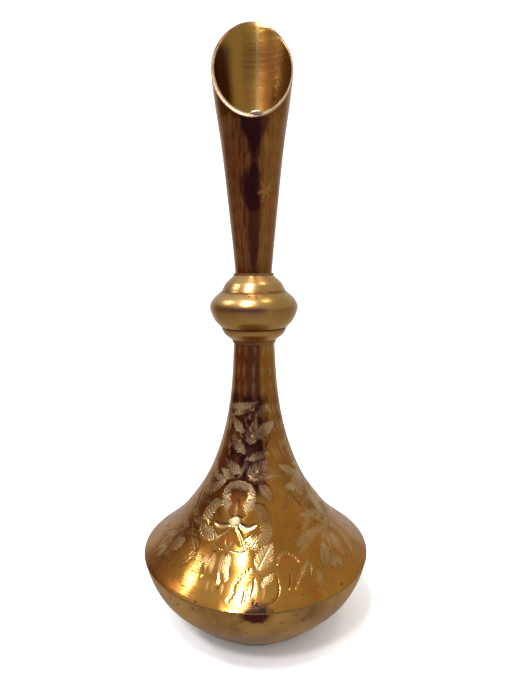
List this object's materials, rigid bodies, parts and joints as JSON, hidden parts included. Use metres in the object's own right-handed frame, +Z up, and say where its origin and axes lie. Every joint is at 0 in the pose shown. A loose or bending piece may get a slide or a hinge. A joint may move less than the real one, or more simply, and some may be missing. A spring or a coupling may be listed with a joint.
{
  "type": "brass bud vase",
  "caption": "Slender spun bud vase with a slanted trumpet mouth, a beaded knop on the neck, a flared engraved body and a small foot ring.",
  "frame": {"origin": "centre of the foot ring's underside, on the table, on the turning axis", "axes": "+Z up along the turning axis, -Y the side with the low lip of the slanted mouth, +X to the right when looking along +Y"},
  "size_m": [0.0784, 0.0784, 0.203],
  "materials": {
    "engraved_brass": "spun sheet brass, polished, engraved by hand and lightly tarnished",
    "plain_brass": "spun sheet brass, worn and spotted, lightly scratched",
    "cast_brass": "cast, turned and polished",
    "braze": "filed brazing alloy, paler than the sheet",
    "solder": "dull grey soft solder"
  },
  "bodies": {
    "root": {"foot_ring": "plain_brass", "foot_solder": "solder", "base_dish": "plain_brass", "shoulder_seam_solder": "solder", "body_bell": "engraved_brass", "knop_lower_solder": "solder", "knop_collar": "cast_brass", "neck_socket_solder": "solder", "knop_upper_solder": "solder", "neck_tube": "engraved_brass", "neck_seam_braze": "braze", "lip_solder_bead": "solder"}
  },
  "joints": []
}
